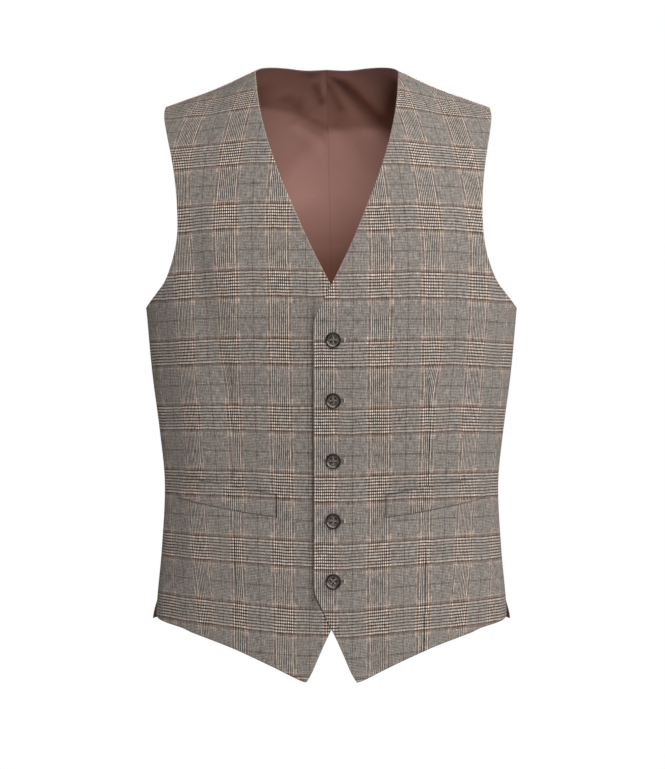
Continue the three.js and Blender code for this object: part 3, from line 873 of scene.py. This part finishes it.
def thread(name, colour):
    """Twisted sewing thread: fine slanting ridges along the piece's own length."""
    material, tree, sockets = new_material(
        name, Roughness=0.6, Specular_IOR_Level=0.35, Sheen_Weight=0.2)
    u, v = both_ways(fabric_map(tree))
    twist = ((u + v) * 12000).math("SINE")
    tone = twist * 0.16 + (unevenness(tree) * 0.4 + 0.74)
    set_surface(sockets, toned((*colour, 1), tone), twist, depth=0.00006, strength=0.6)
    return material


CHECK, SATIN, HORN = check_cloth(), satin(), horn()
BUTTON_THREAD = thread("button_thread", (0.13, 0.11, 0.09))
HOLE_THREAD = thread("buttonhole_thread", (0.16, 0.12, 0.095))
BAR_THREAD = thread("buttonhole_bar_thread", (0.66, 0.57, 0.47))


# Cloth pieces

def stretched(at, marks, values):
    """A straight-line scale through marks and their values, going on evenly past both ends."""
    total = values[0] + np.minimum(at - marks[0], 0) + np.maximum(at - marks[-1], 0)
    for low, high, a, b in zip(marks, marks[1:], values, values[1:]):
        total = total + (b - a) * np.clip((at - low) / (high - low), 0, 1)
    return total


def check_place(side, across, rise, up):
    """Where a front lies on the woven cloth, as two maps: before and after the dart. They are
    the same above it."""
    marks = [smooth(GRAIN[side], name, rise) for name in list(GRAIN[side])[1:]]
    bands = [0, WARP_REPEAT, 2 * WARP_REPEAT - WARP_BAND / 2, 2 * WARP_REPEAT + WARP_BAND / 2,
             3 * WARP_REPEAT]
    whole = stretched(across, marks, bands)
    sewn = 1 - fade(DART_TOP - 25, DART_TOP, rise)
    strays = [smooth(STRAY[side], name, up) for name in list(STRAY[side])[1:]]
    strayed = strays[0]
    for near, far, a, b in zip(STRAY_AT, STRAY_AT[1:], strays, strays[1:]):
        strayed = strayed + (b - a) * np.clip((across - near) / (far - near), 0, 1)
    v = up - strayed - WEFT_PHASE
    return [np.stack([side * (whole + (u - whole) * sewn), v], -1)
            for u in (stretched(across, marks[:3], bands[:3]),
                      stretched(across, marks[3:], bands[3:]))]


def front_piece(name, side, lift):
    """A front: the cut spread over the body, moved out by its lap and folds, with a column of
    the grid along the dart and a groove there."""
    angle, rise, from_dart = panel_grid(FRONT, front_edges(), sample=81, rows=190,
                                        columns=[40, 56], dart=DART[side])
    at = laid_out(FRONT, side, angle, rise)
    # Folds die out towards the seams and the front edge
    held = fade(0, 40, at.outer) * fade(0, 45, at.top) * fade(0, 14, at.inner)
    held = np.maximum(held, 0.35 * fade(0, 40, at.top) * (rise > UNDERARM))
    sewn = (1 - fade(DART_TOP - 26, DART_TOP, rise)) * fade(0, 3, at.bottom)
    groove = sewn * bell(from_dart, DART_GROOVE_WIDTH)
    closing = fade(*LAP_CLOSES, rise) * (1 - fade(*LAP_OPENS, rise))
    # The seam values paint shade into the dart's groove; on the right front they also paint the
    # shadow under the lapping edge
    if side > 0:
        gape = LAP_GAPE * bell(at.inner, 6)
        line = 0.6 * groove * (0.5 + 0.5 * fade(*DART_ENTERS_WELT, rise))
    else:
        gape = -UNDERLAP_DROP * (1 - fade(16, 38, at.across))
        line = np.maximum(sewn * bell(from_dart, 0.8) * (0.4 + 0.6 * bell(rise + 420, 9)),
                          0.95 * bell(at.across - 18.4, 1.9) * closing)
    folds = strokes(FRONT_FOLDS[side], at.across, rise) * held + gape * closing
    seam_roll = 0.25 * bell(at.outer - 2.6, 2)
    height = (lift(angle, rise) - FRONT_WALL / 2 + folds - DART_GROOVE_DEPTH * groove
              + seam_roll)
    # A painted highlight runs along the free edges and just under the welt
    x = side * (at.base[..., 0] - lean(rise))
    below_welt = np.interp(x, WELT["x"], WELT["bottom"]) - at.base[..., 2]
    highlight_under_welt = fade(56, 62, x) * (1 - fade(148, 156, x)) * bell(below_welt - 1.6, 0.7)
    edge = np.maximum(bell(np.minimum(at.inner, at.outer + 9 * (rise < UNDERARM)), 1),
                      1.3 * highlight_under_welt)
    # The seam values also darken the hem's edge
    return wall_piece(
        name, at, height, FRONT_WALL, side < 0, check_place(side, at.across, rise, at.up),
        [CHECK, SATIN], {"seam": [np.maximum(line, 0.5 * bell(at.bottom, 0.9))], "edge": [edge]},
        split=np.abs(from_dart[0]).argmin(), lined=at.inner > FACING_WIDTH)


def back_piece(name, side):
    """Half of the back: the cut spread over the body, moved out by its folds and vent. Inside,
    painted shade darkens the lining below the neck, in the folds there and far down."""
    angle, rise, _ = panel_grid(BACK, back_edges(), sample=61, rows=170, columns=[84])
    at = laid_out(BACK, side, angle, rise)
    held = fade(0, 30, at.outer) * fade(0, 12, at.top) * fade(0, 10, at.inner)
    folds = strokes(BACK_FOLDS[side], at.across, rise) * held
    height = vent_flare(angle, rise) - BACK_WALL / 2 + folds
    seam = bell(at.inner, 0.8)
    # Painted shade on the inside only: a slanting band under the collar, more far down, and the
    # shade strokes
    slant, depth = (0.25, 0.53) if side > 0 else (0.8, 0.47)
    shade = (depth * fade(-7, 7, rise - COLLAR_SHADE_EDGE - slant * at.across)
             - 0.1 * side * fade(30, 60, rise) + 0.95 * (1 - fade(*LINING_LOW_SHADE, rise))
             + strokes(LINING_SHADE_STROKES[side], at.across, rise))
    return wall_piece(name, at, height, BACK_WALL, side > 0,
                      [np.stack([side * at.across, at.up], -1)], [SATIN],
                      {"seam": [seam, 0.4 * seam], "shade": [0 * seam, np.clip(shade, 0, 1)]})


def welt_piece(name, side, lift, shift, end_shadow):
    """A pocket welt: a strip between its two long edges, lying on the folded front. Its check
    is that of the front behind it, moved a little along the pocket. Its mouth stands open a
    little, and its lower edge and inner end are sewn down."""
    share, v = np.meshgrid(*(lipped(size, steps)[0] / size
                             for size, steps in ((WELT_LENGTH, 96), (WELT_HEIGHT, 26))))
    bottom, top = smooth(WELT, "bottom", share), smooth(WELT, "top", share)
    angle, rise = place(FRONT, smooth(WELT, "x", share), bottom + (top - bottom) * v)
    at = laid_out(FRONT, side, angle, rise)
    mouth = 0.7 * bell(at.top, 5) * fade(0, 16, at.inner) * fade(0, 16, at.outer)
    sewn_down = 0.9 * bell(at.bottom, 3) * fade(0, 3, at.inner)
    height = (lift(angle, rise) + SEAM_GAP + WELT_WALL / 2
              + strokes(FRONT_FOLDS[side], at.across, rise) + mouth - sewn_down)
    # Painted shade along the welt: dashes under its top edge, a line at its lower edge and its
    # ends; painted glints by the top edge of the right welt
    top_shadow_dashes = 1 - fade(0.16, 0.34, share) + bell(share - 0.68, 0.1)
    painted_glints = 2.4 * bell(share - 0.48, 0.035) + 2 * bell(share - 0.63, 0.04)
    seam = np.maximum.reduce([
        0.5 * bell(at.bottom, 0.5), end_shadow * bell(at.inner - 0.8, 1.3),
        0.4 * bell(at.outer, 0.7), (0.25 + 0.6 * top_shadow_dashes) * bell(at.top - 0.5, 1.1)])
    return wall_piece(
        name, at, height, WELT_WALL, side < 0,
        check_place(side, at.across + shift, rise, at.up)[1:], [CHECK],
        {"seam": [seam], "edge": [bell(at.top - 2.5, 0.7) * painted_glints * (side < 0)]})


def no_lift(angle, rise):
    return 0.0


left_front = front_piece("left_front_cloth", 1, lap_lift)
right_front = front_piece("right_front_cloth", -1, no_lift)
left_back = back_piece("left_back_satin", 1)
right_back = back_piece("right_back_satin", -1)
left_welt = welt_piece("left_welt_cloth", 1, lap_lift, shift=0.0, end_shadow=0.35)
right_welt = welt_piece("right_welt_cloth", -1, no_lift, shift=-7.0, end_shadow=1.2)

for piece, node in ((left_front, "front_left"), (right_front, "front_right")):
    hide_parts(node)
for piece, node in ((left_back, "back_left"), (right_back, "back_right")):
    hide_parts(node)
for piece, node, front in ((left_welt, "welt_left", left_front),
                           (right_welt, "welt_right", right_front)):
    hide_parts(node)


# Buttons and sewing

def square_ring(half, steps):
    """Points evenly along a square's sides, from its right corner below, going round."""
    u = np.arange(steps) / steps * 2 - 1
    one = np.ones(steps)
    return half * np.vstack([np.stack(p, 1) for p in (
        (one, u), (-u, one), (-one, -u), (u, -one))])


def ring_quads(index):
    """Quads between rings of equal count, each ring joined to the next."""
    low, high = index[:-1], index[1:]
    return np.stack([low, np.roll(low, -1, 1), np.roll(high, -1, 1), high], -1).reshape(-1, 4)


def ringed(rings):
    """The points and quads of a surface through rings of points."""
    rings = np.array(rings)
    index = np.arange(rings[..., 0].size).reshape(rings.shape[:2])
    return rings.reshape(-1, rings.shape[-1]), ring_quads(index)


def joined(shapes):
    """Several shapes' points and quads as one."""
    start = np.cumsum([0] + [len(points) for points, _ in shapes[:-1]])
    return (np.vstack([points for points, _ in shapes]),
            np.vstack([quads + n for (_, quads), n in zip(shapes, start)]))


def button_shape(turn):
    """A four-hole button, its axis along +Z and its back at 0, with the paleness of its face as
    a fourth column, painted highlights included. Rings turn from round at the rim to a square
    round the four holes, and in each quarter of that square rings turn from square to a hole's
    circle. Between the holes the face is a little raised and carries a painted highlight, and
    however the button is turned, a painted highlight sits on the rim's inner slope at lower left."""
    square = square_ring(BUTTON_HOLE_PITCH, 2 * CELL_STEPS)
    circle = square / np.linalg.norm(square, axis=1, keepdims=True)
    # Where the painted highlight falls: towards the lower left, whatever the button's turn
    lit = fade(0.45, 0.9, np.cos(np.arctan2(circle[:, 1], circle[:, 0]) + PAINTED_GLEAM_TURN + turn))
    rings = []
    for radius, height in zip(*BUTTON_SECTION.values()):
        roundness = fade(3.7, 4.9, radius)
        # Paler horn on the face, and the painted highlight on the rim's inner slope
        tone = (FACE_PALE * (1 - fade(5.2, 6, radius)) + 0.85 * lit * bell(radius - 6.05, 0.5)
                ) * (height > 1.9) + FACE_PALE * (height > 1) * (radius < 5.5)
        rings.append(np.column_stack([square * (1 - roundness) + circle * radius * roundness,
                                      height + 0 * lit, tone]))
    shapes = [ringed(rings)]
    cell = square_ring(BUTTON_HOLE_PITCH / 2, CELL_STEPS)
    spoke = cell / np.linalg.norm(cell, axis=1, keepdims=True)
    for quarter in ((1, 1), (-1, 1), (-1, -1), (1, -1)):
        rings = []
        for share, height in zip(*HOLE_SECTION.values()):
            flat = (np.array(quarter) * BUTTON_HOLE_PITCH / 2
                    + spoke * BUTTON_HOLE_RADIUS * (1 - share) + cell * share)
            on_face = share * (height > 1.5)
            # The raised plus between the holes is paler: a painted highlight
            raised = (0.34 * on_face * bell(np.abs(flat).min(1), 0.7)
                      * (np.abs(flat).max(1) < 3.6))
            rings.append(np.column_stack([
                flat, height + raised, np.minimum(FACE_PALE * on_face + 3.4 * raised, 1)]))
        shapes.append(ringed(rings))
    return joined(shapes)


def tube(path, radius, sides=8, closed=False):
    """A round cord along a path of points, with its ends drawn in to close it."""
    ahead = np.roll(path, -1, 0) - np.roll(path, 1, 0)
    if not closed:
        ahead[0], ahead[-1] = path[1] - path[0], path[-1] - path[-2]
    ahead /= np.linalg.norm(ahead, axis=1, keepdims=True)
    one = np.cross(ahead, np.where(np.abs(ahead[:, 2:]) > 0.9, [[1.0, 0, 0]], [[0, 0, 1.0]]))
    one /= np.linalg.norm(one, axis=1, keepdims=True)
    two = np.cross(ahead, one)
    size = np.full(len(path), radius, float)
    if not closed:
        size[[0, -1]] *= 0.05
    turn = np.arange(sides)[None, :, None] / sides * 2 * math.pi
    ring = np.cos(turn) * one[:, None] + np.sin(turn) * two[:, None]
    points = (path[:, None] + ring * size[:, None, None]).reshape(-1, 3)
    index = np.arange(len(points)).reshape(len(path), sides)
    if closed:
        return points, ring_quads(np.vstack([index, index[:1]]))
    caps = [np.array([[i[0], i[k], i[k + 1], i[k + 2]] for k in range(1, sides - 2, 2)])
            for i in (index[0], index[-1][::-1])]
    return points, np.vstack([ring_quads(index), *caps])


def small_piece(name, points, quads, material, layers=None):
    """A piece with its doubled points merged and its faces turned outwards."""
    uv = points[quads.ravel()][:, [0, 2]]
    piece = mesh_piece(name, points, quads, uv, [material], np.zeros(len(quads)), layers or {})
    work = bmesh.new()
    work.from_mesh(piece.data)
    bmesh.ops.remove_doubles(work, verts=work.verts, dist=1e-6)
    bmesh.ops.recalc_face_normals(work, faces=work.faces)
    work.to_mesh(piece.data)
    work.free()
    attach(piece, "root")
    return piece


def on_lap(number, lift):
    """Moves points, given across, up and out from a button's place, onto the lapping front."""
    angle, rise = place(FRONT, np.array(BUTTON_X),
                        np.array(TOP_BUTTON - BUTTON_PITCH * (number - 1)))
    out = body_normal(FRONT, angle, rise)
    right = np.cross([0, 0, 1.0], out)
    right /= np.linalg.norm(right)
    centre = body_point(FRONT, angle, rise) + out * (lap_lift(angle, rise) + lift)
    return lambda points: centre + points @ np.array([right, np.cross(out, right), out])


def add_button(number):
    """A button, and the thread that crosses between its holes, twice each way."""
    turn = math.radians(BUTTON_TURNS[number - 1])
    spin = np.array([[math.cos(turn), math.sin(turn), 0], [-math.sin(turn), math.cos(turn), 0],
                     [0, 0, 1]])
    set_in = on_lap(number, SEAM_GAP)
    points, quads = button_shape(turn)
    button = small_piece(f"horn_button_{number}", set_in(points[:, :3] @ spin), quads, HORN,
                         {"face": points[:, 3]})
    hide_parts(f"button_{number}")
    u = np.linspace(-1, 1, 15)
    reach = 0.86 * u * BUTTON_HOLE_PITCH / 2
    threads = []
    for slant in (1, -1):
        arch = 1.72 + 0.4 * (1 - u ** 4) - 1.6 * np.abs(u) ** 6 + 0.12 * (slant > 0)
        threads += [tube(np.stack([reach + shift * slant, slant * reach - shift, arch], 1), 0.12)
                    for shift in (-0.105, 0.105)]
    points, quads = joined(threads)
    small_piece(f"button_thread_{number}", set_in(points @ spin), quads, BUTTON_THREAD)


def add_buttonhole(number):
    """A worked slot that runs out from under the button, with a bar across its outer end."""
    middle, reach, end, half_width, bar_at, bar_half = BUTTONHOLE.values()
    turn = np.linspace(0, 2 * math.pi, 64, endpoint=False)
    slot = np.stack([middle + reach * np.cos(turn) + end * np.sign(np.cos(turn)),
                     half_width * np.clip(2.2 * np.sin(turn), -1, 1), 0.12 + 0 * turn], 1)
    up = np.linspace(-bar_half, bar_half, 13)
    bar = np.stack([bar_at + 0.1 * np.sin(up * 4), up, 0.2 + 0 * up], 1)
    set_in = on_lap(number, 0)
    for name, (points, quads), material in (
            (f"buttonhole_{number}", tube(slot, 0.42, closed=True), HOLE_THREAD),
            (f"buttonhole_bar_{number}", tube(bar, 0.5), BAR_THREAD)):
        small_piece(name, set_in(points), quads, material)


for number in range(1, 6):
    add_button(number)
    add_buttonhole(number)


# Camera, lights and floor

def add_camera():
    """The camera looks level along +Y, with the photograph's scale at the body's middle."""
    data = bpy.data.cameras.new("camera")
    data.sensor_width = SENSOR
    data.lens = SENSOR * CAMERA_DISTANCE / (max(PHOTO_SIZE) * MM_PER_PIXEL * MM)
    camera = bpy.data.objects.new("camera", data)
    camera.location = CAMERA_AT
    camera.rotation_euler = (math.pi / 2, 0, 0)
    bpy.context.scene.collection.objects.link(camera)
    bpy.context.scene.camera = camera


def add_light(name, spot, aim, size, power):
    """A soft round light."""
    data = bpy.data.lights.new(name, "AREA")
    data.shape, data.size, data.energy = "DISK", size, power
    light = bpy.data.objects.new(name, data)
    light.location = spot
    light.rotation_euler = (Vector(aim) - light.location).to_track_quat("-Z", "Y").to_euler()
    bpy.context.scene.collection.objects.link(light)


def add_world():
    """White to the eye, and a softer white as a light."""
    world = bpy.data.worlds.new("studio")
    bpy.context.scene.world = world
    world.use_nodes = True
    tree = world.node_tree
    seen = add_node(tree, "Background", {"Color": (1, 1, 1, 1), "Strength": 1.0})
    lit = Value(tree.nodes["Background"].outputs[0])
    feed(lit.socket.node.inputs["Color"], (1, 0.99, 0.98, 1))
    feed(lit.socket.node.inputs["Strength"], 0.1)
    by_eye = add_node(tree, "LightPath", output="Is Camera Ray")
    feed(tree.nodes["World Output"].inputs[0],
         add_node(tree, "MixShader", {0: by_eye, 1: lit, 2: seen}))


def add_floor():
    """A pale square floor, well below the garment."""
    mesh = bpy.data.meshes.new("floor")
    size, level = 2.2, -1.7
    mesh.from_pydata([(-size, -size, level), (size, -size, level), (size, size, level),
                      (-size, size, level)], [], [(0, 1, 2, 3)])
    floor = bpy.data.objects.new("floor", mesh)
    bpy.context.scene.collection.objects.link(floor)
    material, tree, sockets = new_material("pale_floor", Roughness=0.9)
    feed(sockets["Base Color"], stepped(noise(object_map(tree), 3, 4),
                                        [(0, (0.8, 0.8, 0.79)), (1, (0.86, 0.86, 0.85))]))
    mesh.materials.append(material)


add_camera()
add_world()
add_floor()
CHEST, BACK_MIDDLE = (0, 0, -0.2), (0, 0, -0.3)
for light in (("side_light", (2.31, -0.41, 0.66), CHEST, 0.9, 30),
              ("front_light", (0.61, -2.27, 0.66), CHEST, 0.9, 25),
              ("high_light", (-0.2, -1.9, 1.41), CHEST, 0.9, 21),
              ("low_right_light", (1.76, -1.76, -0.42), CHEST, 0.9, 4),
              ("low_left_light", (-2.4, -0.9, 0), CHEST, 0.9, 8),
              ("back_light", (0.4, 2.4, 0.8), BACK_MIDDLE, 1.8, 37)):
    add_light(*light)
bpy.context.scene.view_settings.view_transform = "Standard"
